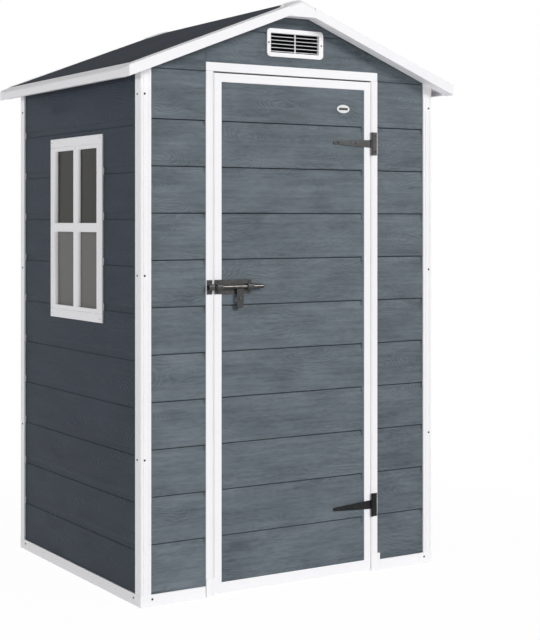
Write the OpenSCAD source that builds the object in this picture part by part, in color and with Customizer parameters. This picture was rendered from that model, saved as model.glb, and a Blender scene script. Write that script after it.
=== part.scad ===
// Garden shed of board-pattern wall panels, with a lean white frame, a pitched
// roof with a rim all round, one hinged door with a slide bolt, one fixed window
// in the left wall and a louvred vent in the front gable.
// Frame: origin at the centre of the base on the ground, front towards -Y,
// +X to the right, +Z up. All lengths are in millimetres.

/* [Body] */
// Width over the corner posts, left to right
body_w = 1169; // [1100:1:1400]
// Depth over the corner posts, front to back
body_d = 997; // [860:1:1300]
// Height of the corner posts' tops above the ground, at their outer faces
eave_h = 1722; // [1650:1:1800]

/* [Base and posts] */
// Height of the base rails
base_h = 37.5; // [30:0.5:50]
// Width of the base rails, seen from above
base_w = 38; // [36:0.5:50]
// Thickness of the floor panel
floor_t = 25; // [15:0.5:29]
// Width of each face of a corner post
post_w = 38; // [36:0.5:50]

/* [Walls] */
// Thickness of the wall panels
wall_t = 20; // [14:0.5:24]
// Depth by which the boards lie behind the posts' faces
wall_recess = 5; // [3:0.5:8]
// Height of the lowest board, from the base rail to its top edge
first_board_h = 157.5; // [120:0.5:190]
// Distance from one board's edge to the next
board_pitch = 151; // [120:0.5:190]
// Depth of the groove between two boards
groove_d = 6; // [2:0.5:8]
// Height of the groove between two boards
groove_h = 24; // [10:0.5:32]
// Flat margin at each upright edge of a panel
panel_margin = 13; // [8:0.5:16]

/* [Doorway] */
// Width between the two jambs
doorway_w = 645; // [560:1:680]
// Width of each jamb's face
jamb_w = 22.5; // [18:0.5:24]
// Distance from the corner posts' tops down to the doorway's top edge
doorway_drop = 6; // [2:1:60]
// Height of the header over the doorway
header_h = 29; // [20:0.5:29]
// Depth by which the jambs and header lie behind the posts' faces
jamb_recess = 3; // [1:0.5:4]
// Depth of the jambs and the header, front to back
jamb_d = 35; // [26:0.5:42]
// Height of each jamb's foot
foot_h = 61; // [50:0.5:80]
// Width by which the right foot is wider than its jamb
foot_extra = 9; // [4:0.5:14]
// Gap between the left foot and the front base rail
rail_gap = 2.5; // [0.5:0.5:5]
// Height of the sill
sill_h = 30; // [26:0.5:34]
// Thickness of the sill, front to back
sill_t = 8; // [5:0.5:10]

/* [Door] */
// Gap between the door and each jamb
door_gap = 6; // [5:0.5:9]
// Gap between the door and the header
door_gap_top = 5; // [5:0.5:8]
// Gap between the door and the ground
door_gap_bottom = 7; // [5:0.5:12]
// Depth by which the door's frame lies behind the posts' faces
door_recess = 4; // [3.5:0.5:5]
// Thickness of the door's frame
door_t = 20; // [16:0.5:20]
// Width of the door's stiles
stile_w = 29; // [24:0.5:36]
// Height of the door's top rail
top_rail_h = 29; // [24:0.5:36]
// Height of the door's bottom rail
bottom_rail_h = 35; // [24:0.5:50]
// Thickness of the door's board panel
door_panel_t = 18; // [12:0.5:18.5]

/* [Hinges] */
// Distance from the door's top edge down to the upper hinge's centre
hinge_upper_drop = 215; // [180:1:260]
// Height of the lower hinge's centre above the door's bottom edge
hinge_lower_rise = 225; // [180:1:290]
// Height of the hinge plate on the jamb
hinge_plate_h = 80; // [60:1:100]
// Thickness of the hinge's sheet metal
hinge_t = 2.5; // [2:0.1:2.8]
// Radius of the hinge's knuckles
knuckle_r = 4; // [3.5:0.1:4.2]
// Radius of the hinge pin
hinge_pin_r = 2; // [1.5:0.1:2.4]
// Radial clearance of the pin in the turning knuckle
pin_clearance = 0.05; // [0.02:0.01:0.1]
// Distance from the pin to the strap's sheet metal
pin_standoff = 0.5; // [0.2:0.1:0.8]
// Length of the strap from the pin to its tip
strap_len = 162; // [120:1:200]
// Height of the strap at the pin
strap_h = 26; // [20:0.5:32]
// Height of the strap at its tip
strap_tip_h = 9; // [6:0.5:14]
// Gap between two knuckles of one hinge
knuckle_gap = 0.6; // [0.4:0.1:1.5]

/* [Slide bolt] */
// Height of the bolt above the ground
bolt_z = 1010; // [990:1:1040]
// Radius of the bolt
bolt_r = 7; // [5:0.1:8]
// Length of the bolt
bolt_len = 188; // [170:1:200]
// Radial clearance of the bolt in its guides and keeper
bolt_clearance = 0.08; // [0.03:0.01:0.1]
// Travel of the bolt from drawn to shot
bolt_travel = 51; // [38:1:56]
// Length of the bolt's plate on the door
latch_len = 140; // [135:1:170]
// Height of the bolt's plate and its keeper
latch_h = 47; // [36:0.5:60]
// Thickness of the bolt's plate
latch_t = 2.5; // [1.5:0.1:3.5]
// Distance from the door's edge to the bolt's plate
latch_inset = 3.5; // [1:0.5:8]
// Gap between the bolt and its plate
bolt_standoff = 1.5; // [1:0.1:3]
// Width of each guide along the bolt
guide_w = 22; // [10:0.5:26]
// Metal round the bolt in its guides and keeper
guide_wall = 3; // [2:0.1:4]
// Width of the keeper on the jamb
keeper_w = 20; // [12:0.5:20]
// Gap between the drawn bolt and the keeper
keeper_gap = 5; // [2:0.5:8]
// Width of the hasp tab under the bolt
tab_w = 26; // [20:0.5:32]
// Length of the hasp tab below the bolt's centre line
tab_len = 72; // [50:0.5:80]
// Thickness of the hasp tab
tab_t = 3; // [2:0.1:4]
// Radius of the hole in the hasp tab
tab_hole_r = 7; // [4:0.1:8]
// Distance of the hole below the bolt's centre line
tab_hole_drop = 38; // [34:0.5:46]
// Distance from the bolt's tip to the near edge of the hasp tab
tab_offset = 83; // [80:1:90]

/* [Badge] */
// Width of the blank oval badge
badge_w = 57; // [40:1:70]
// Height of the blank oval badge
badge_h = 32; // [24:1:44]
// Thickness of the badge
badge_t = 3; // [2:0.1:4]
// Distance from the door's right edge to the badge's centre
badge_inset = 117.5; // [80:0.5:200]
// Distance from the door's top edge down to the badge's centre
badge_drop = 98; // [70:1:120]

/* [Window] */
// Width of the window frame
window_w = 438; // [320:1:520]
// Height of the window frame
window_h = 632; // [500:1:700]
// Height of the window frame's lower edge above the ground
window_z = 885; // [800:1:950]
// Width of the window frame's members
window_member = 45; // [34:0.5:56]
// Width of the upright glazing bar
window_bar_w = 37; // [16:0.5:48]
// Height of the level glazing bar
window_bar_h = 32; // [16:0.5:48]
// Height by which the frame stands out from the posts' faces
window_proud = 1; // [0.5:0.5:4]
// Width by which the frame laps over the wall around its opening
window_lap = 10; // [5:0.5:20]
// Depth of the glass behind the face of the frame
glass_recess = 11; // [7:0.5:14]
// Thickness of the glass
glass_t = 4; // [2:0.5:6]
// Width by which the glass is held behind the frame on each side
glass_hold = 8; // [5:0.5:14]
// Clearance round the glass and round the frame in the wall
window_clearance = 1; // [0.5:0.1:2]

/* [Vent] */
// Width of the vent's plate
vent_w = 228; // [180:1:260]
// Height of the vent's plate
vent_h = 98; // [80:1:110]
// Height of the vent's lower edge above the header
vent_rise = 32; // [20:1:36]
// Corner radius of the vent's plate
vent_corner_r = 14; // [4:0.5:20]
// Depth of the vent's plate behind the posts' faces
vent_recess = 0.5; // [0.5:0.5:2]
// Width of the vent's border beside the slots
vent_border_x = 17; // [12:0.5:24]
// Height of the vent's border over and under the slots
vent_border_z = 16.5; // [12:0.5:22]
// Number of slots, one above another
vent_slots = 6; // [3:1:8]
// Height of the slats between the slots
vent_slat = 4.5; // [3:0.5:6]
// Width of the bar in the middle of the slots
vent_mullion = 6; // [4:0.5:10]
// Thickness of the vent's box round the slots
vent_box_t = 3; // [2:0.5:5]
// Clearance of the vent's box in its hole
vent_clearance = 1; // [0.5:0.1:2]

/* [Roof] */
// Pitch of the roof in degrees
roof_pitch = 21.2; // [18:0.1:23]
// Thickness of the roof panels
roof_t = 18; // [12:0.5:22]
// Gap between the roof panels and the walls, posts and eave ledges under them
seat_gap = 0.1; // [0.1:0.1:1]
// Overhang of the roof past the posts at the eaves
eave_overhang = 63; // [45:0.5:90]
// Overhang of the roof past the posts at the front and the back
gable_overhang = 46; // [36:0.5:70]
// Upright height of the roof's rim
rim_h = 37; // [32:0.5:56]
// Width of the sloping upper band on the eave rims, seen from above
rim_band_w = 22; // [10:0.5:26]
// Width of the sloping upper band on the gable rims
rake_band_w = 38; // [20:0.5:40]
// Drop of the sloping band on the gable rims
rake_band_drop = 8; // [6:0.5:16]
// Drop of the sloping band on the eave rims
eave_band_drop = 10; // [8:0.5:22]
// Thickness of the rim that hangs at the eaves
eave_skirt_t = 14; // [8:0.5:18]
// Thickness of the ledge under the roof panel at the eaves
eave_ledge_t = 6; // [4:0.5:10]
// Half the width of each ridge cap
cap_half_w = 62; // [54:0.5:90]
// Length of each ridge cap along the ridge, to its point
cap_len = 118; // [90:1:160]
// Thickness of the ridge caps over the roof panels
cap_t = 3; // [2:0.5:6]
// Half the width of the level edge under the ridge
apex_flat_half_w = 52; // [30:0.5:58]

/* [Hidden] */

// Colours
board_colour = "#667078";
trim_colour = "#f0f1f2";
roof_colour = "#42464d";
metal_colour = "#26272a";
glass_colour = "#5b5b58";
floor_colour = "#8b8e90";

// Smoothness of the round metal parts
round_fn = 48;
// Overshoot of a cut past the face that it opens
cut = 1;

// Half sizes and the planes of the front
half_w = body_w/2;
half_d = body_d/2;
front = -half_d;
wall_front = front + wall_recess;
jamb_front = front + jamb_recess;
door_front = front + door_recess;

// Roof: its panels rest on the posts' tops
ridge_h = eave_h + tan(roof_pitch)*half_w + roof_t/cos(roof_pitch);
eave_x = half_w + eave_overhang;
rim_front = front - gable_overhang;
rim_inner_x = eave_x - rim_band_w;
panel_drop = roof_t/cos(roof_pitch);
eave_bottom = roof_top(eave_x) - rim_h;
rake_rim = rim_h*cos(roof_pitch);
apex_flat_z = roof_top(apex_flat_half_w) - rim_h;

// Walls
wall_top = ridge_h;
wall_bottom = base_h;
inner_w = half_w - post_w;
inner_d = half_d - post_w;
groove_count = floor((ridge_h - wall_bottom - first_board_h)/board_pitch);

// Doorway and door
doorway_h = eave_h - doorway_drop;
jamb_inner = doorway_w/2;
jamb_outer = jamb_inner + jamb_w;
header_top = doorway_h + header_h;
leaf_half = jamb_inner - door_gap;
leaf_top = doorway_h - door_gap_top;
leaf_bottom = door_gap_bottom;
door_panel_half = leaf_half - stile_w;
door_panel_top = leaf_top - top_rail_h;
door_panel_bottom = leaf_bottom + bottom_rail_h;

hinge_upper_z = leaf_top - hinge_upper_drop;
hinge_lower_z = leaf_bottom + hinge_lower_rise;
badge_x = leaf_half - badge_inset;
badge_z = leaf_top - badge_drop;

// Hinge pin: over the middle of the gap, in front of the door
pin_x = jamb_inner - door_gap/2;
pin_y = door_front - hinge_t - pin_standoff - hinge_pin_r;
turning_h = strap_h - 2*knuckle_gap;

// Slide bolt: drawn at rest, its tip just clear of the keeper
latch_left = -leaf_half + latch_inset;
latch_front = door_front - latch_t;
bolt_y = latch_front - bolt_standoff - bolt_r;
keeper_right = -jamb_inner;
bolt_tip = keeper_right + keeper_gap;
guide_r = bolt_r + bolt_clearance;
guide_h = 2*(guide_r + guide_wall);
tab_left = bolt_tip + tab_offset;

// Window: its middle is the middle of the left wall
window_mid_z = window_z + window_h/2;
window_face = -half_w - window_proud;
wall_left_face = -half_w + wall_recess;
window_body_w = window_w - 2*window_lap;
window_body_h = window_h - 2*window_lap;
pane_area_w = window_w - 2*window_member;
pane_area_h = window_h - 2*window_member;
pane_w = (pane_area_w - window_bar_w)/2;
pane_h = (pane_area_h - window_bar_h)/2;
glass_x = window_face + glass_recess;

// Vent
vent_face = front + vent_recess;
vent_mid_z = header_top + vent_rise + vent_h/2;
vent_open_w = vent_w - 2*vent_border_x;
vent_open_h = vent_h - 2*vent_border_z;
vent_slot_h = (vent_open_h - (vent_slots - 1)*vent_slat)/vent_slots;
vent_slot_w = (vent_open_w - vent_mullion)/2;

// Height of the roof's upper surface over a place x
function roof_top(x) = ridge_h - tan(roof_pitch)*abs(x);
// Height of the roof panels' underside over a place x
function roof_under(x) = roof_top(x) - panel_drop;
// Height of the edge between two boards
function board_edge(k) = wall_bottom + first_board_h + k*board_pitch;
// Points of an ellipse about the origin
function oval(w, h, n) = [for (i = [0:n - 1]) [w/2*cos(360*i/n), h/2*sin(360*i/n)]];
// Points of a rectangle with round corners about the origin
function round_rect(w, h, r, n) = [for (q = [0:3], i = [0:n])
    [(q == 0 || q == 3 ? 1 : -1)*(w/2 - r) + r*cos(90*(q + i/n)),
     (q < 2 ? 1 : -1)*(h/2 - r) + r*sin(90*(q + i/n))]];

// A box given by its two corners
module block(a, b) {
    translate(a) cube(b - a);
}

// Extrudes an outline of (y, z) points from x0 to x1
module along_x(x0, x1) {
    translate([x0, 0, 0]) rotate([90, 0, 90]) linear_extrude(x1 - x0) children();
}

// Extrudes an outline of (x, z) points from y0 to y1
module along_y(y0, y1) {
    translate([0, y1, 0]) rotate([90, 0, 0]) linear_extrude(y1 - y0) children();
}

// Everything below the roof panels
module under_roof() {
    along_y(-2*half_d, 2*half_d) translate([0, -seat_gap])
        polygon([[-eave_x, 0], [eave_x, 0], [eave_x, roof_under(eave_x)],
            [0, roof_under(0)], [-eave_x, roof_under(eave_x)]]);
}

// A panel of boards that faces -Y at y = 0, with a groove under each board
module board_panel(x0, x1, z0, z1, t) {
    difference() {
        block([x0, 0, z0], [x1, t, z1]);
        for (k = [0:groove_count])
            if (board_edge(k) > z0 + groove_h && board_edge(k) < z1)
                along_x(x0 + panel_margin, x1 - panel_margin)
                    polygon([[-cut, board_edge(k)], [groove_d, board_edge(k)],
                        [0, board_edge(k) - groove_h], [-cut, board_edge(k) - groove_h]]);
    }
}

// A front wall panel between two places, trimmed to the roof
module front_boards(x0, x1, z0, z1) {
    color(board_colour) intersection() {
        translate([0, wall_front, 0]) board_panel(x0, x1, z0, z1, wall_t);
        under_roof();
    }
}

module floor_panel() {
    color(floor_colour)
        block([-half_w + base_w, front + base_w, 0],
            [half_w - base_w, half_d - base_w, floor_t]);
}

module base_rail_side(side) {
    color(trim_colour)
        block([side < 0 ? -half_w : half_w - base_w, front + base_w, 0],
            [side < 0 ? -half_w + base_w : half_w, half_d - base_w, base_h]);
}

module base_rail_back() {
    color(trim_colour)
        block([-half_w, half_d - base_w, 0], [half_w, half_d, base_h]);
}

// Front rail from the corner to the foot of the jamb
module base_rail_front(side) {
    x0 = jamb_outer + (side < 0 ? rail_gap : foot_extra);
    color(trim_colour) mirror([side < 0 ? 1 : 0, 0, 0])
        block([x0, front, 0], [half_w, front + base_w, base_h]);
}

module door_sill() {
    color(trim_colour)
        block([-jamb_inner, front + base_w - sill_t, 0],
            [jamb_inner, front + base_w, sill_h]);
}

// Corner post on the base rails; side_x and side_y choose the corner
module corner_post(side_x, side_y) {
    color(trim_colour) intersection() {
        mirror([side_x < 0 ? 1 : 0, 0, 0]) mirror([0, side_y < 0 ? 1 : 0, 0])
            block([inner_w, inner_d, base_h], [half_w, half_d, wall_top]);
        under_roof();
    }
}

module front_wall_left() {
    front_boards(-inner_w, -jamb_outer, wall_bottom, header_top);
}

module front_wall_right() {
    front_boards(jamb_outer, inner_w, wall_bottom, header_top);
}

// Gable over the header, with a hole for the vent
module front_gable() {
    color(board_colour) difference() {
        front_boards(-inner_w, inner_w, header_top, wall_top);
        translate([0, wall_front, vent_mid_z])
            cube([vent_open_w + 2*(vent_box_t + vent_clearance), 4*wall_t,
                vent_open_h + 2*(vent_box_t + vent_clearance)], center = true);
    }
}

module back_wall() {
    mirror([0, 1, 0]) front_boards(-inner_w, inner_w, wall_bottom, wall_top);
}

// Side wall: the left one has the window's opening
module side_wall(side) {
    color(board_colour) intersection() {
        translate([side*(half_w - wall_recess), 0, 0]) rotate([0, 0, side*90])
            board_panel(-inner_d, inner_d, wall_bottom, wall_top, wall_t);
        under_roof();
    }
}

module left_wall() {
    color(board_colour) difference() {
        side_wall(-1);
        translate([wall_left_face, 0, window_mid_z])
            cube([4*wall_t, window_body_w + 2*window_clearance,
                window_body_h + 2*window_clearance], center = true);
    }
}

module right_wall() {
    side_wall(1);
}

// Jamb with a foot; the right one is wider and laps over the wall panel
module door_jamb(side) {
    foot_x = jamb_outer + (side < 0 ? 0 : foot_extra);
    color(trim_colour) mirror([side < 0 ? 1 : 0, 0, 0]) union() {
        block([jamb_inner, jamb_front, 0],
            [jamb_outer, jamb_front + jamb_d, doorway_h]);
        block([jamb_inner, front, 0], [foot_x, wall_front, foot_h]);
        block([jamb_inner, front, 0], [foot_x, front + base_w, base_h]);
    }
}

module door_header() {
    color(trim_colour)
        block([-jamb_outer, jamb_front, doorway_h],
            [jamb_outer, jamb_front + jamb_d, header_top]);
}

// Window frame with a crossed pair of glazing bars and a rebate for the glass
module window_frame() {
    depth = wall_left_face + wall_t - window_face;
    color(trim_colour) translate([window_face, 0, window_mid_z]) difference() {
        union() {
            translate([0, -window_w/2, -window_h/2])
                cube([wall_recess + window_proud, window_w, window_h]);
            translate([0, -window_body_w/2, -window_body_h/2])
                cube([depth, window_body_w, window_body_h]);
        }
        for (sy = [-1, 1], sz = [-1, 1])
            translate([-cut, sy*(pane_w + window_bar_w)/2 - pane_w/2,
                sz*(pane_h + window_bar_h)/2 - pane_h/2])
                cube([depth + 2*cut, pane_w, pane_h]);
        translate([glass_recess, -pane_area_w/2 - glass_hold, -pane_area_h/2 - glass_hold])
            cube([depth, pane_area_w + 2*glass_hold, pane_area_h + 2*glass_hold]);
    }
}

module window_glass() {
    w = pane_area_w + 2*(glass_hold - window_clearance);
    h = pane_area_h + 2*(glass_hold - window_clearance);
    color(glass_colour)
        translate([glass_x, -w/2, window_mid_z - h/2]) cube([glass_t, w, h]);
}

// Outline of the vent's slots, two side by side on each level
module slot_outline() {
    for (side = [-1, 1], i = [0:vent_slots - 1])
        translate([side*(vent_slot_w + vent_mullion)/2,
            (i - (vent_slots - 1)/2)*(vent_slot_h + vent_slat)])
            square([vent_slot_w, vent_slot_h], center = true);
}

// Louvred vent: a plate on the gable and a box through its hole
module front_vent() {
    color(trim_colour) translate([0, 0, vent_mid_z]) union() {
        along_y(vent_face, wall_front) difference() {
            polygon(round_rect(vent_w, vent_h, vent_corner_r, 8));
            slot_outline();
        }
        along_y(wall_front, wall_front + wall_t) difference() {
            square([vent_open_w + 2*vent_box_t, vent_open_h + 2*vent_box_t], center = true);
            slot_outline();
        }
    }
}

// Places its children on the right slope: x runs down from the ridge, z = 0 is
// the roof's upper surface; what passes the ridge or the eave is cut away
module on_slope(x0, x1) {
    intersection() {
        translate([0, 0, ridge_h]) rotate([0, roof_pitch, 0]) children();
        block([x0, -2*half_d, 0], [x1, 2*half_d, 2*ridge_h]);
    }
}

// Outline of a gable rim across the slope, with or without the panel's rebate
module rake_outline(rebate) {
    polygon([[rim_front, -rake_rim], [rim_front, -rake_band_drop],
        [rim_front + rake_band_w, 0],
        if (rebate) [rim_front + rake_band_w, -roof_t],
        [front, rebate ? -roof_t : 0], [front, -rake_rim]]);
}

// Everything inside the sloping outer band of the right eave
module inside_eave() {
    along_y(-2*half_d, 2*half_d)
        polygon([[0, 0], [eave_x, 0], [eave_x, roof_top(eave_x) - eave_band_drop],
            [rim_inner_x, roof_top(rim_inner_x)], [rim_inner_x, 2*ridge_h],
            [0, 2*ridge_h]]);
}

module roof_panel(side) {
    y0 = rim_front + rake_band_w;
    color(roof_colour) mirror([side < 0 ? 1 : 0, 0, 0])
        on_slope(0, rim_inner_x)
            block([-roof_t, y0, -roof_t], [2*eave_x, -y0, 0]);
}

// Rim that hangs at the eaves, with a ledge that carries the roof panel
module eave_trim(side) {
    skirt_x = eave_x - eave_skirt_t;
    color(trim_colour) mirror([side < 0 ? 1 : 0, 0, 0])
        along_y(front, half_d)
            polygon([[eave_x, eave_bottom], [eave_x, roof_top(eave_x) - eave_band_drop],
                [rim_inner_x, roof_top(rim_inner_x)],
                [rim_inner_x, roof_under(rim_inner_x) - seat_gap],
                [half_w, roof_under(half_w) - seat_gap],
                [half_w, roof_under(half_w) - eave_ledge_t],
                [skirt_x, roof_under(skirt_x) - eave_ledge_t], [skirt_x, eave_bottom]]);
}

// Sloping gable rim from the ridge cap to the eave; side_y chooses front or back
module rake_trim(side_x, side_y) {
    color(trim_colour)
        mirror([side_x < 0 ? 1 : 0, 0, 0]) mirror([0, side_y > 0 ? 1 : 0, 0])
            intersection() {
                union() {
                    on_slope(cap_half_w, eave_x)
                        along_x(0, 2*eave_x) rake_outline(true);
                    on_slope(rim_inner_x, eave_x)
                        along_x(0, 2*eave_x) rake_outline(false);
                }
                inside_eave();
            }
}

// Outline of a ridge cap across the slope: the rim and a saddle on the panel
module cap_outline() {
    band = rim_front + rake_band_w;
    polygon([[rim_front, -rake_rim], [rim_front, -rake_band_drop], [band, cap_t],
        [rim_front + cap_len, cap_t], [rim_front + cap_len, 0], [band, 0],
        [band, -roof_t], [front, -roof_t], [front, -rake_rim]]);
}

// Front ridge cap: closes the rim at the ridge and saddles the roof panels
// with a plate that tapers to a point on the ridge
module ridge_cap() {
    color(trim_colour) union() {
        for (side = [0, 1]) mirror([side, 0, 0])
            intersection() {
                on_slope(0, cap_half_w)
                    along_x(-rim_h, 2*eave_x) cap_outline();
                linear_extrude(2*ridge_h)
                    polygon([[0, rim_front], [cap_half_w, rim_front],
                        [cap_half_w, front], [0, rim_front + cap_len]]);
            }
        along_y(rim_front, front)
            polygon([[-apex_flat_half_w, apex_flat_z], [apex_flat_half_w, apex_flat_z],
                [0, ridge_h - rim_h/2]]);
    }
}

module ridge_caps() {
    ridge_cap();
    mirror([0, 1, 0]) ridge_cap();
}

// Hinge plate on the jamb with the two fixed knuckles and the pin
module hinge_plate(z) {
    x0 = pin_x + knuckle_r + 1;
    fixed_h = (hinge_plate_h - strap_h)/2;
    color(metal_colour) translate([0, 0, z]) union() {
        block([x0, jamb_front - hinge_t, -hinge_plate_h/2],
            [jamb_outer, jamb_front, hinge_plate_h/2]);
        translate([pin_x, pin_y, -hinge_plate_h/2])
            cylinder(r = hinge_pin_r, h = hinge_plate_h, $fn = round_fn);
        for (side = [0, 1]) mirror([0, 0, side]) {
            translate([pin_x, pin_y, strap_h/2])
                cylinder(r = knuckle_r, h = fixed_h, $fn = round_fn);
            block([pin_x, jamb_front - hinge_t, strap_h/2],
                [x0, jamb_front - hinge_t/2, hinge_plate_h/2]);
        }
    }
}

// Tapering strap on the door with the turning knuckle round the pin
module hinge_strap(z) {
    tip_r = strap_tip_h/2;
    tip_x = pin_x - strap_len + tip_r;
    color(metal_colour) translate([0, 0, z]) difference() {
        union() {
            along_y(door_front - hinge_t, door_front)
                polygon(concat([[pin_x, -turning_h/2], [pin_x, turning_h/2]],
                    [for (a = [90:15:270]) [tip_x + tip_r*cos(a), tip_r*sin(a)]]));
            translate([pin_x, pin_y, -turning_h/2])
                cylinder(r = knuckle_r, h = turning_h, $fn = round_fn);
        }
        translate([pin_x, pin_y, -strap_h])
            cylinder(r = hinge_pin_r + pin_clearance, h = 2*strap_h, $fn = round_fn);
    }
}

// Ring of metal that the bolt slides through, standing on a face at y
module bolt_ring(x, w, y) {
    block([x, bolt_y - guide_r - guide_wall, bolt_z - guide_h/2],
        [x + w, y, bolt_z + guide_h/2]);
}

// Hole for the bolt, from x0 to x1
module bolt_hole(x0, x1) {
    translate([x0, bolt_y, bolt_z]) rotate([0, 90, 0])
        cylinder(r = guide_r, h = x1 - x0, $fn = round_fn);
}

module bolt_keeper() {
    x0 = keeper_right - keeper_w;
    color(metal_colour) difference() {
        union() {
            block([x0, jamb_front - latch_t, bolt_z - latch_h/2],
                [keeper_right, jamb_front, bolt_z + latch_h/2]);
            bolt_ring(x0, keeper_w, jamb_front);
        }
        bolt_hole(x0 - cut, keeper_right + cut);
    }
}

module latch_plate() {
    x1 = latch_left + latch_len;
    color(metal_colour) difference() {
        union() {
            block([latch_left, latch_front, bolt_z - latch_h/2],
                [x1, door_front, bolt_z + latch_h/2]);
            bolt_ring(latch_left, guide_w, door_front);
            bolt_ring(x1 - guide_w, guide_w, door_front);
        }
        bolt_hole(latch_left - cut, x1 + cut);
    }
}

// Bolt with the hasp tab that hangs under it
module bolt_bar() {
    tab_r = tab_w/2;
    color(metal_colour) difference() {
        union() {
            translate([bolt_tip, bolt_y, bolt_z]) rotate([0, 90, 0])
                cylinder(r = bolt_r, h = bolt_len, $fn = round_fn);
            translate([0, bolt_y, 0]) {
                along_y(-tab_t/2, tab_t/2) translate([tab_left, bolt_z - tab_len + tab_r])
                    square([tab_w, tab_len - tab_r]);
                translate([tab_left + tab_r, tab_t/2, bolt_z - tab_len + tab_r])
                    rotate([90, 0, 0]) cylinder(r = tab_r, h = tab_t, $fn = round_fn);
            }
        }
        translate([tab_left + tab_r, bolt_y + tab_t, bolt_z - tab_hole_drop])
            rotate([90, 0, 0]) cylinder(r = tab_hole_r, h = 2*tab_t, $fn = round_fn);
    }
}

module door_panel() {
    color(board_colour) translate([0, wall_front, 0])
        board_panel(-door_panel_half, door_panel_half, door_panel_bottom,
            door_panel_top, door_panel_t);
}

module door_stile(side) {
    color(trim_colour) mirror([side < 0 ? 1 : 0, 0, 0])
        block([door_panel_half, door_front, leaf_bottom],
            [leaf_half, door_front + door_t, leaf_top]);
}

module door_rail(z0, z1) {
    color(trim_colour)
        block([-door_panel_half, door_front, z0],
            [door_panel_half, door_front + door_t, z1]);
}

module badge_plate() {
    color(metal_colour) along_y(wall_front - badge_t, wall_front)
        translate([badge_x, badge_z]) polygon(oval(badge_w, badge_h, 40));
}

floor_panel();
base_rail_side(-1);  // base_rail_left
base_rail_side(1);  // base_rail_right
base_rail_back();
base_rail_front(-1);  // base_rail_front_left
base_rail_front(1);  // base_rail_front_right
door_sill();
corner_post(-1, -1);  // corner_post_front_left
corner_post(1, -1);  // corner_post_front_right
corner_post(-1, 1);  // corner_post_back_left
corner_post(1, 1);  // corner_post_back_right
front_wall_left();
front_wall_right();
front_gable();
back_wall();
left_wall();
right_wall();
door_jamb(-1);  // door_jamb_left
door_jamb(1);  // door_jamb_right
door_header();
window_frame();
window_glass();
front_vent();
roof_panel(-1);  // roof_panel_left
roof_panel(1);  // roof_panel_right
eave_trim(-1);  // eave_trim_left
eave_trim(1);  // eave_trim_right
rake_trim(-1, -1);  // rake_trim_front_left
rake_trim(1, -1);  // rake_trim_front_right
rake_trim(-1, 1);  // rake_trim_back_left
rake_trim(1, 1);  // rake_trim_back_right
ridge_caps();
hinge_plate(hinge_upper_z);  // hinge_plate_upper
hinge_plate(hinge_lower_z);  // hinge_plate_lower
bolt_keeper();
door_panel();
door_stile(-1);  // door_stile_left
door_stile(1);  // door_stile_right
door_rail(door_panel_top, leaf_top);  // door_top_rail
door_rail(leaf_bottom, door_panel_bottom);  // door_bottom_rail
hinge_strap(hinge_upper_z);  // hinge_strap_upper
hinge_strap(hinge_lower_z);  // hinge_strap_lower
latch_plate();
badge_plate();
bolt_bar();
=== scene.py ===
# Garden shed: mouldings, hardware and finishes around the fixed frame, in metres
import math
import bmesh
import bpy
from mathutils import Matrix, Vector


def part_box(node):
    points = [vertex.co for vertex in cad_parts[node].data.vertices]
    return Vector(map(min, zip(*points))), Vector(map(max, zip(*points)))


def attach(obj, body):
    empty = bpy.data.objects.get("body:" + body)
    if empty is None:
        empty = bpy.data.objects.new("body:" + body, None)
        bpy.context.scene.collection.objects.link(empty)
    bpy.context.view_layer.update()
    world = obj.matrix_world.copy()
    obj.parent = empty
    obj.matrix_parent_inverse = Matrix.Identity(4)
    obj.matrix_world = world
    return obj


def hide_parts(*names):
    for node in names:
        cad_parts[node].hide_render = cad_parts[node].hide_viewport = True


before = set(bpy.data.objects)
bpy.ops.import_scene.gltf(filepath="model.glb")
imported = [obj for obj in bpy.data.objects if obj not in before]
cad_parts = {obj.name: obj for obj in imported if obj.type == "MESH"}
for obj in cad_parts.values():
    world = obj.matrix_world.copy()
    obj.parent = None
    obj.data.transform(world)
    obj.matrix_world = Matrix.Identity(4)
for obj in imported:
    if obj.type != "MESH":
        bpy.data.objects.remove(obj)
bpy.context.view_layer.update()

right, back, up = Vector((1, 0, 0)), Vector((0, 1, 0)), Vector((0, 0, 1))
left, front = -right, -back
tiny = 1e-5  # places this close count as one
fullTurn = 6.2832
flatTurn = 1  # degrees under which two faces are one

view = {"place": (-2.6264, -4.5445, 1.2280), "turn": -31.966, "lens": 80.24, "shift": -0.1556,
        "sensor": 36, "clip": (0.1, 100)}


def addObject(name, data):
    made = bpy.data.objects.new(name, data)
    bpy.context.scene.collection.objects.link(made)
    return made


def meshObject(bm, name, material):
    mesh = bpy.data.meshes.new(name)
    bm.to_mesh(mesh)
    bm.free()
    mesh.materials.append(material)
    return addObject(name, mesh)


def makeCamera():
    data = bpy.data.cameras.new("camera")
    data.lens, data.sensor_width, data.shift_y = view["lens"], view["sensor"], view["shift"]
    data.clip_start, data.clip_end = view["clip"]
    camera = addObject("camera", data)
    camera.location = view["place"]
    camera.rotation_euler = (math.radians(90), 0, math.radians(view["turn"]))
    bpy.context.scene.camera = camera


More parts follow.
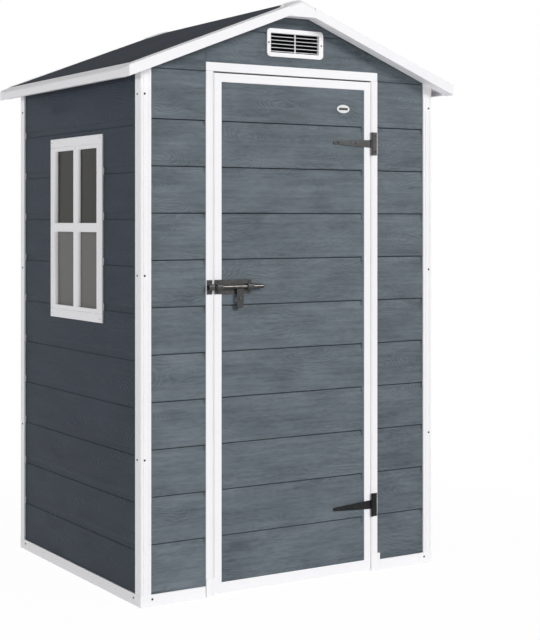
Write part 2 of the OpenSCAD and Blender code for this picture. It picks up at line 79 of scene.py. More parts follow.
# shader maths: one socket, with the operators that add Math nodes
class Wire:
    def __init__(self, tree, socket=None):
        self.tree, self.socket = tree, socket

    def node(self, kind, settings=None, inputs=None, output=0):
        made = self.tree.nodes.new("ShaderNode" + kind)
        for name, value in (settings or {}).items():
            setattr(made, name, value)
        for key, value in (inputs or {}).items():
            if isinstance(value, Wire):
                self.tree.links.new(value.socket, made.inputs[key])
            else:
                made.inputs[key].default_value = value
        return Wire(self.tree, made.outputs[output] if made.outputs else None)

    def math(self, operation, *values):
        return self.node("Math", {"operation": operation}, dict(enumerate(values)))

    def __add__(self, other): return self.math("ADD", self, other)
    def __sub__(self, other): return self.math("SUBTRACT", self, other)
    def __rsub__(self, other): return self.math("SUBTRACT", other, self)
    def __mul__(self, other): return self.math("MULTIPLY", self, other)
    def __truediv__(self, other): return self.math("DIVIDE", self, other)
    def __rtruediv__(self, other): return self.math("DIVIDE", other, self)
    def __pow__(self, other): return self.math("POWER", self, other)
    def __rpow__(self, other): return self.math("POWER", other, self)
    __radd__, __rmul__ = __add__, __mul__

    def spread(self, low, high):
        # from 0 at low to 1 at high, held at both ends
        return self.node("MapRange", {"interpolation_type": "SMOOTHSTEP"},
                         {0: self, 1: low, 2: high, 3: 0.0, 4: 1.0})

    def between(self, low, high, soft):
        # 1 between low and high, running out to 0 at both
        return self.spread(low, low + soft) * (1.0 - self.spread(high - soft, high))

    def around(self, middle, swing):
        # a noise as a swing to both sides of a middle value
        return middle + (self - 0.5) * swing

    def axis(self, name):
        return self.node("SeparateXYZ", None, {0: self}, name)

    def stretch(self, amounts):
        return self.node("VectorMath", {"operation": "MULTIPLY"}, {0: self, 1: amounts})

    def noise(self, scale, detail=2.0, roughness=0.5):
        # scale is one number, or one for each axis
        place = self
        if isinstance(scale, tuple):
            place, scale = self.stretch(scale), 1.0
        return self.node("TexNoise", None, {"Vector": place, "Scale": scale, "Detail": detail,
                                            "Roughness": roughness})

    def colour(self, first, second):
        # first where this is 0 and second where it is 1
        first, second = (shade if isinstance(shade, Wire) else linear(*shade)
                         for shade in (first, second))
        return self.node("Mix", {"data_type": "RGBA"}, {0: self, 6: first, 7: second}, 2)

    def bump(self, distance, strength=1.0):
        return self.node("Bump", None, {"Strength": strength, "Distance": distance,
                                        "Height": self})


def linear(red, green, blue):
    # a screen colour from 0 to 255 as the shader wants it
    steps = [value / 255 for value in (red, green, blue)]
    return tuple(s / 12.92 if s <= 0.04045 else ((s + 0.055) / 1.055) ** 2.4 for s in steps) + (1,)


def weighed(parts, start, shares):
    for name, share in shares.items():
        start = start + parts[name] * share
    return start


def newMaterial(name):
    material = bpy.data.materials.new(name)
    material.use_nodes = True
    tree = material.node_tree
    tree.nodes.clear()
    return material, Wire(tree).node("TexCoord", None, None, "Object")


def finishShader(wire, **sockets):
    names = {"base": "Base Color", "roughness": "Roughness", "metallic": "Metallic",
             "normal": "Normal", "alpha": "Alpha", "specular": "Specular IOR Level"}
    inputs = {names[key]: value for key, value in sockets.items()}
    wire.node("OutputMaterial", None, {"Surface": wire.node("BsdfPrincipled", None, inputs)})


studio = {
    "lamps": {"key": ((0.45, -0.79, 0.45), 1.98, 20),  # where from, strength, softness
              "fill": ((-0.98, -0.16, 0.035), 0.74, 6)},
    "horizon": 0.60, "falloff": 1.6,  # the world's light, and how it fades upwards
    "floorSize": 60, "floor": (0.95, 0.95, 0.95, 1),
    "floorLift": 0.45,  # glow of the floor on the shed
    "floorWhite": 0.98, "whiteBetween": (0.9, 2.6),  # glow of the seen floor, full further out
}


def makeSun(name, source, strength, softness):
    data = bpy.data.lights.new(name, "SUN")
    data.energy, data.angle = strength, math.radians(softness)
    lamp = addObject(name, data)
    lamp.rotation_mode = "QUATERNION"
    lamp.rotation_quaternion = Vector(source).to_track_quat("Z", "Y")


def seenRays(wire):
    seen, glossy, through = (wire.node("LightPath", None, None, kind) for kind in
                             ("Is Camera Ray", "Is Glossy Ray", "Is Transmission Ray"))
    return wire.math("MAXIMUM", wire.math("MAXIMUM", seen, glossy), through)


def makeWorld():
    world = bpy.data.worlds.new("studio")
    world.use_nodes = True
    world.node_tree.nodes.clear()
    wire = Wire(world.node_tree)
    seen = seenRays(wire)
    rise = wire.node("TexCoord", None, None, "Generated").axis("Z")
    soft = (1.0 - wire.math("MAXIMUM", rise, 0.0)) ** studio["falloff"] * studio["horizon"]
    strength = seen + (1.0 - seen) * soft
    sky = wire.node("Background", None, {"Color": (1, 1, 1, 1), "Strength": strength})
    wire.node("OutputWorld", None, {"Surface": sky})
    bpy.context.scene.world = world
    bpy.context.scene.view_settings.view_transform = "Standard"


def makeStage():
    bm = bmesh.new()
    bmesh.ops.create_grid(bm, x_segments=1, y_segments=1, size=studio["floorSize"] / 2)
    material, place = newMaterial("ground_paper")
    reach = place.node("VectorMath", {"operation": "LENGTH"}, {0: place}, 1)
    white = (studio["floorWhite"]
             + reach.spread(*studio["whiteBetween"]) * (1.0 - studio["floorWhite"]))
    seen = seenRays(place)
    share = seen * white + (1.0 - seen) * studio["floorLift"]
    paper = place.node("BsdfDiffuse", None, {"Color": studio["floor"]})
    glow = place.node("Emission", None, {"Color": (1, 1, 1, 1), "Strength": 1.0})
    place.node("OutputMaterial", None,
               {"Surface": place.node("MixShader", None, {0: share, 1: paper, 2: glow})})
    meshObject(bm, "ground", material)


boardLook = {
    "pitch": 0.151, "firstEdge": 0.195,  # height of a board, and of the lowest lap
    # front and side: the same boards, with the side walls' pair darker as painted shade
    "front": {"shades": ((72, 81, 88), (111, 121, 127)), "lengthwise": "X", "lapShadeDark": 0.66},
    "side": {"shades": ((37, 45, 56), (53, 62, 74)), "lengthwise": "Y", "lapShadeDark": 0.20},
    "shift": 17.0, "layer": 0.37,  # sets the grain of each board apart
    "noises": {  # stretch, detail, roughness
        "patch": ((4.2, 9.0, 1.0), 1.0, 0.5), "swirl": ((1.9, 9.0, 1.0), 2.0, 0.45),
        "whirl": ((11.0, 20.0, 1.0), 1.0, 0.4), "streak": ((5.0, 85.0, 1.0), 3.0, 0.55),
        "fleck": ((34.0, 130.0, 1.0), 2.0, 0.5), "fibre": ((16.0, 620.0, 1.0), 2.0, 0.6),
        "cloud": ((5.0, 13.0, 1.0), 3.0, 0.5)},
    "patches": (0.47, 0.64), "knots": (2.6, 7.4, 0.0), "knotSize": 0.46, "dots": (0.58, 0.72),
    # a start value, and how much of each part goes on top
    "rings": (0.0, {"height": 84.0, "swirl": 5.0, "knot": 7.0, "whirl": 5.0}),
    "figure": (0.12, {"patch": 0.95, "knot": 0.5}), "dotting": (0.25, {"patch": 0.75}),
    "tone": (0.52, {"streak": 0.95, "cloud": 1.15, "fibre": 0.45, "fleck": 0.7, "figure": 0.09,
                    "board": 0.05, "dots": -0.30, "heart": 0.06, "gable": -0.17}),
    # the gable's painted shade starts between the first pair of heights; the painted shade towards
    # the bottom fades out between the second
    "gableShadeFrom": (1.69, 1.72), "lowShadeUpTo": (-0.2, 1.5),
    "relief": (0.0, {"figure": 0.36, "streak": 1.0, "fleck": 0.8, "dots": -0.3}),
    "reliefDepth": 0.0010, "roughness": (0.60, 0.2), "specular": 0.20,
    # painted shade: the dark line under each lap, and where it fades
    "lapShade": (24, 28, 34), "lapShadeAt": -0.0009, "lapShadeEdge": (0.0011, 0.0022), "lapShadeEnd": 0.002,
    "seamClear": (0.016, 0.020), "gableLapShades": (1.75, 1.80), "gableFade": 0.6,
    "lapShadesFrom": (0.10, 0.12),
}


def boardMaterial(name, face, seed, lowShade=0.0, ends=None):
    look, finish = boardLook, boardLook[face]
    material, place = newMaterial(name)
    length, height = place.axis(finish["lengthwise"]), place.axis("Z")
    count = (height - look["firstEdge"]) / look["pitch"]
    board = place.math("FLOOR", count)
    chance = place.node("TexWhiteNoise", {"noise_dimensions": "1D"}, {"W": board + seed})
    grain = place.node("CombineXYZ", None, {0: length + chance * look["shift"], 1: height,
                                            2: board * look["layer"] + seed})
    noise = {kind: grain.noise(*values) for kind, values in look["noises"].items()}
    # growth rings run along the board, bend round knots and curl up in patches
    patch = noise["patch"].spread(*look["patches"])
    knots = place.node("TexVoronoi", {"feature": "F1", "voronoi_dimensions": "2D"},
                       {"Vector": grain.stretch(look["knots"]), "Scale": 1.0}, "Distance")
    knot = 1.0 - knots.spread(0.0, look["knotSize"])
    parts = {"height": height, "swirl": noise["swirl"], "knot": knot, "patch": patch,
             "whirl": noise["whirl"] * patch, "heart": knot * knot, "board": chance - 0.5}
    ring = place.math("SINE", weighed(parts, *look["rings"]) * fullTurn)
    parts["figure"] = ring * weighed(parts, *look["figure"])
    parts["dots"] = noise["fleck"].spread(*look["dots"]) * weighed(parts, *look["dotting"])
    for kind in ("streak", "cloud", "fibre", "fleck"):
        parts[kind] = noise[kind] - 0.5
    # painted shade: the boards darker on the gable, under the roof
    parts["gable"] = height.spread(*look["gableShadeFrom"])
    # painted shade: darker towards the bottom, by the amount given for each panel
    parts["low"] = 1.0 - height.spread(*look["lowShadeUpTo"])
    tone = weighed(parts, *look["tone"]) - parts["low"] * lowShade
    tone = place.math("MAXIMUM", 0.0, place.math("MINIMUM", 1.0, tone))
    # painted shade in a dark line under each lap, fainter high in the gable, cleared at the gable
    # seam, near the foot and at the door's ends
    offset = (count - place.math("ROUND", count)) * look["pitch"] - look["lapShadeAt"]
    lapShade = (1.0 - place.math("ABSOLUTE", offset).spread(*look["lapShadeEdge"])) * finish["lapShadeDark"]
    lapShade = lapShade * place.math("ABSOLUTE", height - boards["gableSeam"]).spread(*look["seamClear"])
    lapShade = lapShade * (1.0 - height.spread(*look["gableLapShades"]) * look["gableFade"])
    lapShade = lapShade * height.spread(*look["lapShadesFrom"])
    if ends:
        lapShade = lapShade * length.between(*ends, look["lapShadeEnd"])
    relief = weighed(parts, *look["relief"])
    finishShader(place, base=lapShade.colour(tone.colour(*finish["shades"]), look["lapShade"]),
                 roughness=noise["streak"].around(*look["roughness"]),
                 normal=relief.bump(look["reliefDepth"]), specular=look["specular"])
    return material


trimLook = {
    "white_resin": {"shades": ((238, 237, 240), (247, 246, 248)), "roughness": 0.42},
    "badge_silver": {"shades": ((214, 215, 216), (236, 236, 236)), "roughness": 0.30},
    "cloud": (7.0, 3.0, 0.55), "skin": (420.0, 2.0, 0.5), "rub": ((9.0, 9.0, 60.0), 3.0, 0.6),
    "rubShare": 0.4, "rubRelief": 0.8, "relief": (0.00012, 0.7), "swing": 0.18, "specular": 0.4,
}


def trimMaterial(name):
    look, finish = trimLook, trimLook[name]
    material, place = newMaterial(name)
    cloud, skin, rub = (place.noise(*look[kind]) for kind in ("cloud", "skin", "rub"))
    tone = cloud * (1.0 - look["rubShare"]) + rub * look["rubShare"]
    finishShader(place, base=tone.colour(*finish["shades"]),
                 roughness=cloud.around(finish["roughness"], look["swing"]),
                 normal=(skin + rub * look["rubRelief"]).bump(*look["relief"]),
                 specular=look["specular"])
    return material


roofLook = {
    "shades": ((58, 62, 70), (75, 79, 87)), "streak": ((90.0, 4.0, 90.0), 3.0, 0.55),
    "stipple": (600.0, 2.0, 0.6), "cloud": (4.0, 3.0, 0.5), "streakTone": 0.8, "cloudTone": 0.7,
    "stippleRelief": 0.35, "relief": (0.0005, 0.8), "roughness": (0.85, 0.2), "specular": 0.03,
}


def roofMaterial():
    look = roofLook
    material, place = newMaterial("roof_resin")
    streak, stipple, cloud = (place.noise(*look[kind]) for kind in ("streak", "stipple", "cloud"))
    tone = cloud.around(streak.around(0.5, look["streakTone"]), look["cloudTone"])
    finishShader(place, base=tone.colour(*look["shades"]),
                 roughness=stipple.around(*look["roughness"]),
                 normal=(streak + stipple * look["stippleRelief"]).bump(*look["relief"]),
                 specular=look["specular"])
    return material


metalLook = {
    "common": {"metallic": 0.0, "stipple": 900.0, "relief": 0.00008, "specular": 0.45},
    "black_coat": {"shades": ((38, 38, 39), (74, 74, 73)), "roughness": 0.40},
    "hinge_coat": {"shades": ((48, 48, 49), (88, 88, 88)), "roughness": 0.40},
    # the lower hinge: a darker copy of the hinge coat, painted shade
    "hinge_coat_low_painted_shade": {"shades": ((18, 18, 20), (40, 40, 42)), "roughness": 0.60,
                       "specular": 0.15},
    "bolt_metal": {"shades": ((60, 58, 57), (96, 94, 92)), "roughness": 0.20, "metallic": 0.9,
                   "stipple": 500.0, "relief": 0.00003},
    "screw_metal": {"shades": ((14, 14, 15), (32, 32, 33)), "roughness": 0.45},
    # near black: painted shade for the dark inside of the shed behind the vent
    "shade_sheet_black": {"shades": ((3, 3, 4), (9, 9, 10)), "roughness": 0.8, "specular": 0.05},
    "badge_dark": {"shades": ((36, 35, 36), (52, 50, 51)), "roughness": 0.45},
    "cloud": (60.0, 3.0, 0.6), "clouds": (0.35, 0.8), "cloudTone": 0.6,
    "grit": (2.0, 0.6), "gritTone": 0.3,
    "swing": 0.2, "strength": 0.8,
    "knuckleShade": (17, 16, 17), "knuckleShadeEdge": 0.0005,  # painted shadow on the knuckles of a hinge
    "dull": (40, 40, 41), "dullRough": 0.3, "dullEdge": 0.002,  # darker, rougher and not metallic below the hasp line
}


def metalMaterial(name, knuckleShade=None, dullBelow=None):
    look, finish = metalLook, {**metalLook["common"], **metalLook[name]}
    material, place = newMaterial(name)
    cloud, grit = place.noise(*look["cloud"]), place.noise(finish["stipple"], *look["grit"])
    tone = cloud.spread(*look["clouds"]) * look["cloudTone"] + grit * look["gritTone"]
    base = tone.colour(*finish["shades"])
    rough, metallic = cloud.around(finish["roughness"], look["swing"]), finish["metallic"]
    # painted shadow in a strip across the knuckles
    if knuckleShade:
        base = place.axis("X").between(*knuckleShade, look["knuckleShadeEdge"]).colour(base, look["knuckleShade"])
    if dullBelow:
        dull = 1.0 - place.axis("Z").spread(dullBelow - look["dullEdge"], dullBelow)
        base = dull.colour(base, look["dull"])
        metallic = (1.0 - dull) * metallic
        rough = rough + dull * look["dullRough"]
    finishShader(place, base=base, roughness=rough, metallic=metallic,
                 normal=grit.bump(finish["relief"], look["strength"]),
                 specular=finish["specular"])
    return material


paneLook = {
    "shades": ((107, 106, 103), (46, 45, 41)),  # painted reflection: a lighter shade low on the pane and a darker one high up
    "turn": (1.17, 1.22), "cloud": ((3.0, 5.0, 1.6), 2.0, 0.5), "waver": 0.05,
    "ripple": (14.0, 1.0, 0.4), "relief": (0.0008, 0.25), "roughness": 0.12, "smear": 0.08,
    "solid": (0.92, 0.05), "specular": 0.12,
}


def paneMaterial():
    look = paneLook
    material, place = newMaterial("smoky_pane_painted_reflection")
    height, cloud = place.axis("Z"), place.noise(*look["cloud"])
    # painted reflection: lighter low on the pane, darker above the turn
    fade = cloud.around(height, look["waver"]).spread(*look["turn"])
    finishShader(place, base=fade.colour(*look["shades"]),
                 roughness=look["roughness"] + cloud * look["smear"],
                 normal=place.noise(*look["ripple"]).bump(*look["relief"]),
                 alpha=cloud.around(*look["solid"]), specular=look["specular"])
    return material


floorLook = {
    "shades": ((112, 116, 119), (140, 144, 147)), "cloud": (9.0, 3.0, 0.5), "ribs": 0.022,
    "ribRelief": 0.5, "grit": 300.0, "gritRelief": 0.4, "relief": 0.0008, "roughness": (0.55, 0.1),
}


def floorMaterial():
    look = floorLook
    material, place = newMaterial("floor_resin")
    cloud = place.noise(*look["cloud"])
    rib = place.math("SINE", place.axis("X") * (fullTurn / look["ribs"]))
    relief = rib * look["ribRelief"] + place.noise(look["grit"]) * look["gritRelief"]
    finishShader(place, base=cloud.colour(*look["shades"]),
                 roughness=cloud.around(*look["roughness"]), normal=relief.bump(look["relief"]))
    return material


def boxIn(bm, corner, opposite):
    corner, opposite = Vector(corner), Vector(opposite)
    size = [abs(value) for value in opposite - corner]
    place = Matrix.Translation((corner + opposite) / 2) @ Matrix.Diagonal((*size, 1))
    bmesh.ops.create_cube(bm, size=1, matrix=place)


def cutAt(bm, point, normal, clear=False):
    found = bmesh.ops.bisect_plane(bm, geom=bm.verts[:] + bm.edges[:] + bm.faces[:],
                                   plane_co=point, plane_no=normal, clear_outer=clear)
    if clear:
        cut = [part for part in found["geom_cut"] if isinstance(part, bmesh.types.BMEdge)]
        bmesh.ops.holes_fill(bm, edges=cut)


def mergeFlat(bm):
    bmesh.ops.remove_doubles(bm, verts=bm.verts, dist=tiny)
    bmesh.ops.dissolve_limit(bm, angle_limit=math.radians(flatTurn), verts=bm.verts,
                             edges=bm.edges)


def copyOf(node):
    bm = bmesh.new()
    bm.from_mesh(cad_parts[node].data)
    mergeFlat(bm)
    return bm


def joinIn(bm, other):
    mesh = bpy.data.meshes.new("part")
    other.to_mesh(mesh)
    other.free()
    bm.from_mesh(mesh)
    bpy.data.meshes.remove(mesh)


def reachOf(outward, low, high):
    return max(low.dot(outward), high.dot(outward))


def allAt(edge, axis, level):
    # both ends of the edge lie at that level along the axis, or beyond it
    return all(vert.co.dot(axis) > level - tiny for vert in edge.verts)


def runsAlong(edge, axis):
    return abs((edge.verts[0].co - edge.verts[1].co).normalized().dot(axis)) > 0.99


def roundEdges(bm, radius, segments=2, only=None, angle=30):
    edges = [edge for edge in bm.edges if len(edge.link_faces) == 2
             and edge.calc_face_angle(0) > math.radians(angle) and (only is None or only(edge))]
    bmesh.ops.bevel(bm, geom=edges, offset=radius, segments=segments, profile=0.5,
                    affect="EDGES", clamp_overlap=True, material=-1)


def fineGroove(bm, across, at, outward, width, depth):
    # a shallow V in the flat face that looks outward, on the line at that place across it
    for offset in (-width / 2, 0, width / 2):
        cutAt(bm, across * (at + offset), across)
    level = max(vert.co.dot(outward) for vert in bm.verts)
    for vert in bm.verts:
        if vert.co.dot(outward) > level - tiny and abs(vert.co.dot(across) - at) < tiny:
            vert.co -= outward * depth


def punch(bm, outward, low, high):
    # a straight-sided opening right through, between two corners
    spans = []
    for axis in (up.cross(outward), up):
        ends = sorted((Vector(low).dot(axis), Vector(high).dot(axis)))
        spans.append((axis, *ends))
        for end in ends:
            cutAt(bm, axis * end, axis)
    gone = [face for face in bm.faces if abs(face.normal.dot(outward)) > 0.5
            and all(first < face.calc_center_median().dot(axis) < last
                    for axis, first, last in spans)]
    bmesh.ops.delete(bm, geom=gone, context="FACES")
    bmesh.ops.bridge_loops(bm, edges=[edge for edge in bm.edges if edge.is_boundary])


# how much larger a face has to be to stay flat, and the angles of a hard edge
shading = {"flatBeside": 4, "sharpFrom": 32, "boards": 50, "fluted": 28}


def finishPiece(bm, name, body, material, replaced=(), sharpFrom=shading["sharpFrom"]):
    bmesh.ops.recalc_face_normals(bm, faces=bm.faces)
    for face in bm.faces:
        face.smooth = True
    for edge in bm.edges:
        # wide faces stay flat beside the narrow ones that round their edges
        areas = sorted(face.calc_area() for face in edge.link_faces)
        turn = math.degrees(edge.calc_face_angle(math.pi))
        edge.smooth = turn < flatTurn or (turn < sharpFrom
                                          and areas[-1] < areas[0] * shading["flatBeside"])
    piece = meshObject(bm, name, material)
    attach(piece, body)
    if replaced:
        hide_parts(*replaced)


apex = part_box("front_gable")[1].z
pitchAngle = math.radians(21.2)
leafFace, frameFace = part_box("door_stile_left")[0].y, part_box("door_header")[0].y

boards = {
    "gableSeam": 1.7145, "gableGroove": (0.0040, 0.0040),  # joint of the walls with the gable
    "seamGroove": (0.0024, 0.0012),  # width and depth
    "highLap": 0.45, "highFrom": 1.80, "sideFade": 0.45,
    "soft": 0.0012,  # run-out at the end of a board's lap
    "lapClear": 0.03, "footClear": 0.012, "seamClear": 0.04,
    # the plain strip at both ends of each panel
    "ends": {"front": (0.002, 0.004), "gable": (0.002, 0.002), "back": (0.006, 0.006),
             "left": (0, 0.010), "right": (0.010, 0), "door": (0.003, 0.008)},
    # height over the board's edge, and depth
    "frontLap": ((0.0050, 0), (0.0020, 0.0005), (0.0006, 0.0014), (0.0002, 0.0085),
                 (-0.0020, 0.0085), (-0.0024, 0.0042), (-0.0080, 0.0040), (-0.0140, 0.0036),
                 (-0.0180, 0.0028), (-0.0225, 0.0010), (-0.0260, 0)),
    "sideLap": ((0.0070, 0), (0.0030, 0.0006), (0.0010, 0.0016), (0, 0.0028), (-0.0025, 0.0038),
                (-0.0090, 0.0034), (-0.0150, 0.0030), (-0.0192, 0.0028), (-0.0198, 0.0040),
                (-0.0216, 0.0042), (-0.0222, 0.0010), (-0.0232, 0.0002), (-0.0250, 0)),
}


def slopeOut(side):
    return side * math.sin(pitchAngle) + up * math.cos(pitchAngle)


def trimToRoof(bm):
    for side in (right, left):
        cutAt(bm, up * apex, slopeOut(side), clear=True)


def lapDepth(lap, height, fade):
    # the highest lap, close under the ridge, is shallower, and fade flattens the low ones
    share = boards["highLap"] if height > boards["highFrom"] else 1
    share -= fade * (1 - height / boards["highFrom"])
    board = round((height - boardLook["firstEdge"]) / boardLook["pitch"])
    offset = height - boardLook["firstEdge"] - board * boardLook["pitch"]
    for (upper, first), (lower, second) in zip(lap, lap[1:]):
        if lower - tiny <= offset <= upper + tiny:
            part = min(1, max(0, (upper - offset) / (upper - lower)))
            return (first + (second - first) * part) * share
    return 0


def boardPanel(name, node, outward, kind, material, body="shed", opening=None, seams=(),
               topSeam=0):
    low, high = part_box(node)
    along = up.cross(outward)
    lap, fade = boards["frontLap"], 0
    if outward in (left, right):
        lap, fade = boards["sideLap"], boards["sideFade"]
    bm = bmesh.new()
    boxIn(bm, low, high)
    trimToRoof(bm)
    start, end = sorted((low.dot(along), high.dot(along)))
    edge = boardLook["firstEdge"]
    while edge < high.z - boards["lapClear"]:
        if edge > low.z + boards["lapClear"] and abs(edge - topSeam) > boards["lapClear"]:
            for rise, _ in lap:
                cutAt(bm, up * (edge + rise), up)
        edge += boardLook["pitch"]
    margins = boards["ends"][kind]
    first, last = start + margins[0], end - margins[1]
    for place in (first, first + boards["soft"], last - boards["soft"], last):
        if start + tiny < place < end - tiny:
            cutAt(bm, along * place, along)
    for seam in seams:
        fineGroove(bm, along, seam, outward, *boards["seamGroove"])
    if topSeam:
        fineGroove(bm, up, topSeam, outward, *boards["gableGroove"])
    if opening:
        punch(bm, outward, *opening)
    level = max(vert.co.dot(outward) for vert in bm.verts)
    for vert in bm.verts:
        place = vert.co.dot(along)
        full = (place > first + tiny or not margins[0]) and (place < last - tiny or not margins[1])
        lapped = (vert.co.z > low.z + boards["footClear"]
                  and abs(vert.co.z - topSeam) > boards["seamClear"])
        if vert.co.dot(outward) > level - tiny and full and lapped:
            vert.co -= outward * lapDepth(lap, vert.co.z, fade)
    finishPiece(bm, name, body, material, [node], sharpFrom=shading["boards"])


post = {"face": 0.037, "corner": 0.0045, "edge": 0.0015,
        "flutes": (0.0100, 0.0290), "flute": (0.0030, 0.0012)}  # places, then width and depth


def cornerPost(node, material):
    low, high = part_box(node)
    outX = right if high.x > 0 else left
    outY = back if high.y > 0 else front
    bm = bmesh.new()
    boxIn(bm, low, high)
    trimToRoof(bm)
    edgeX, edgeY = reachOf(outX, low, high), reachOf(outY, low, high)
    for step in post["flutes"]:
        fineGroove(bm, outX, edgeX - step, outY, *post["flute"])
        fineGroove(bm, outY, edgeY - step, outX, *post["flute"])
    roundEdges(bm, post["corner"], segments=4,
               only=lambda edge: allAt(edge, outX, edgeX) and allAt(edge, outY, edgeY))

    def atWall(edge):
        x, y = edge.verts[0].co.dot(outX), edge.verts[0].co.dot(outY)
        return runsAlong(edge, up) and ((y > edgeY - tiny and x < edgeX - post["face"])
                                        or (x > edgeX - tiny and y < edgeY - post["face"]))
    roundEdges(bm, post["edge"], only=atWall)
    finishPiece(bm, node + "_moulding", "shed", material, [node],
                sharpFrom=shading["fluted"])


rail = {"edge": 0.0014, "seamAt": 0.5265, "seam": (0.0022, 0.0012)}
rails = ("base_rail_left", "base_rail_right", "base_rail_back", "base_rail_front_left",
         "base_rail_front_right", "door_sill", "door_jamb_left", "door_jamb_right", "door_header")


def straightRail(node, material):
    bm = copyOf(node)
    roundEdges(bm, rail["edge"])
    if node == "base_rail_front_right":
        fineGroove(bm, right, rail["seamAt"], front, *rail["seam"])
    finishPiece(bm, node + "_moulding", "shed", material, [node])


leaf = {"leftIn": 0.0020, "rightIn": 0.0010, "edge": 0.0016}


def doorFrame(material):
    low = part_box("door_stile_left")[0] + right * leaf["leftIn"]
    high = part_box("door_stile_right")[1]
    panelLow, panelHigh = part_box("door_panel")
    bm = bmesh.new()
    boxIn(bm, low, high)
    punch(bm, front, panelLow + right * leaf["leftIn"], panelHigh + right * leaf["rightIn"])
    roundEdges(bm, leaf["edge"])
    finishPiece(bm, "door_frame", "door", material,
                ["door_stile_left", "door_stile_right", "door_top_rail", "door_bottom_rail"])


# how far each lip reaches into the gap, and where its faces stand
seal = {"reach": {"left": 0.0064, "right": 0.0044}, "face": {"left": -0.4950, "right": -0.4955},
        "back": -0.4870, "edge": 0.0012, "foot": 0.0020, "footTop": 0.061, "footReach": 0.0009,
        "footFace": -0.4982}


def doorSeals(material):
    # a lip on each jamb that closes most of the gap beside the leaf
    for side, inner, inward in (("left", 1, 1), ("right", 0, -1)):
        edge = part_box("door_jamb_" + side)[inner].x
        reach = seal["reach"][side]
        bm = bmesh.new()
        boxIn(bm, (edge, seal["face"][side], seal["foot"]),
              (edge + inward * reach, seal["back"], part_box("door_header")[0].z))
        roundEdges(bm, seal["edge"])
        # at the jamb's foot the lip is wider and stands level with the leaf's face
        boxIn(bm, (edge, seal["footFace"], seal["foot"]),
              (edge + inward * (reach + seal["footReach"]), seal["back"], seal["footTop"]))
        finishPiece(bm, "door_seal_" + side, "shed", material)


screw = {"radius": 0.0037, "height": 0.0013, "onPlate": 0.0025, "plateHeight": 0.0014,
         "sides": 14, "crown": 0.72, "rim": 0.30, "recessRim": 0.05, "recess": 0.7}


def addScrew(bm, point, outward, radius, height):
    turn = outward.to_track_quat("Z", "Y").to_matrix().to_4x4()
    place = Matrix.Translation(Vector(point) + outward * (height / 2)) @ turn
    made = bmesh.ops.create_cone(bm, cap_ends=True, segments=screw["sides"], radius1=radius,
                                 radius2=radius * screw["crown"], depth=height, matrix=place)
    top = max((face for vert in made["verts"] for face in vert.link_faces),
              key=lambda face: face.calc_center_median().dot(outward))
    bmesh.ops.inset_region(bm, faces=[top], thickness=radius * screw["rim"], depth=0)
    bmesh.ops.inset_region(bm, faces=[top], thickness=radius * screw["recessRim"],
                           depth=-height * screw["recess"])


def plateScrew(bm, x, face, z, radius):
    # on top of a metal plate that lies on the face
    addScrew(bm, (x, face - screw["onPlate"], z), front, radius, screw["plateHeight"])


window = {"frontEdge": 0.0050, "backEdge": 0.0050, "member": 0.045, "bar": (-0.0220, 0.0145),
          "levelBar": (-0.0125, 0.0180), "backIn": 0.0040, "round": 0.0120, "edge": 0.0026,
          "edgeDeep": 0.002, "lineSide": 0.0150, "lineOver": 0.0140, "lineUnder": 0.0135,
          "line": (0.0036, 0.0026), "screw": (0.0016, 0.0006), "screwIn": 0.013,
          "screwOver": 0.006}


def windowSpan():
    low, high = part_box("window_frame")
    return low + back * window["frontEdge"], high - back * window["backEdge"]


def windowFrame(material, screwMetal):
    low, high = windowSpan()
    middle = sum(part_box("window_frame"), Vector()) / 2
    bm = bmesh.new()
    boxIn(bm, low, high)
    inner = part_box("window_frame")[1] - middle - Vector((0, window["member"], window["member"]))
    for y in (0, 1):
        for z in (0, 1):
            near = Vector((0, window["bar"][y], window["levelBar"][z]))
            far = Vector((0, (-inner.y, inner.y - window["backIn"])[y], (-inner.z, inner.z)[z]))
            punch(bm, left, middle + near, middle + far)
    mergeFlat(bm)

    def backSide(edge):
        return any(all(v.co.x < low.x + tiny and abs(v.co.y - at) < tiny for v in edge.verts)
                   for at in (inner.y - window["backIn"], window["bar"][0]))
    roundEdges(bm, window["round"], segments=4, only=backSide, angle=60)

    def outerEdge(edge):
        return all(v.co.x < low.x + window["edgeDeep"]
                   and (v.co.y < low.y + tiny or v.co.y > high.y - tiny
                        or abs(v.co.z - middle.z) > middle.z - low.z - tiny) for v in edge.verts)
    roundEdges(bm, window["edge"], only=outerEdge, angle=60)
    for across, at in ((back, high.y - window["lineSide"]), (back, low.y + window["lineSide"]),
                       (up, middle.z - inner.z - window["lineUnder"]),
                       (up, middle.z + inner.z + window["lineOver"])):
        fineGroove(bm, across, at, left, *window["line"])
    finishPiece(bm, "window_surround", "shed", material, ["window_frame"],
                sharpFrom=shading["fluted"])
    bm = bmesh.new()
    inset = window["screwIn"]
    places = [(y, z) for z in (high.z - inset, low.z + inset)
              for y in (high.y - inset, low.y + inset)]
    for y, z in places + [(middle.y, middle.z + inner.z + window["screwOver"])]:
        addScrew(bm, (low.x, y, z), left, *window["screw"])
    finishPiece(bm, "window_screws", "shed", screwMetal)


vent = {"faceDepth": 0.0045, "backAt": -0.4850, "opening": (0.097, 0.0325), "hole": 0.0032,
        "leftIn": 0.002, "topIn": 0.003, "wall": 0.003, "drop": 0.0018, "slat": 0.0019,
        "pitch": 0.0124, "slatDepth": 0.0030, "slatBack": 0.0016, "slatEdge": 0.0010,
        "mullion": 0.0029, "proud": 0.0004, "corner": 0.014, "edge": 0.0012, "shadeSheet": 0.002,
        "shadeSheetEdge": 0.0005, "screw": (0.0032, 0.0009), "screwIn": 0.0085}


def ventCentre():
    return sum(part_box("front_vent"), Vector()) / 2 - up * vent["drop"]


def ventHole():
    reach = Vector((vent["opening"][0] + vent["hole"], 0, vent["opening"][1] + vent["hole"]))
    return [ventCentre() + side * reach for side in (-1, 1)]


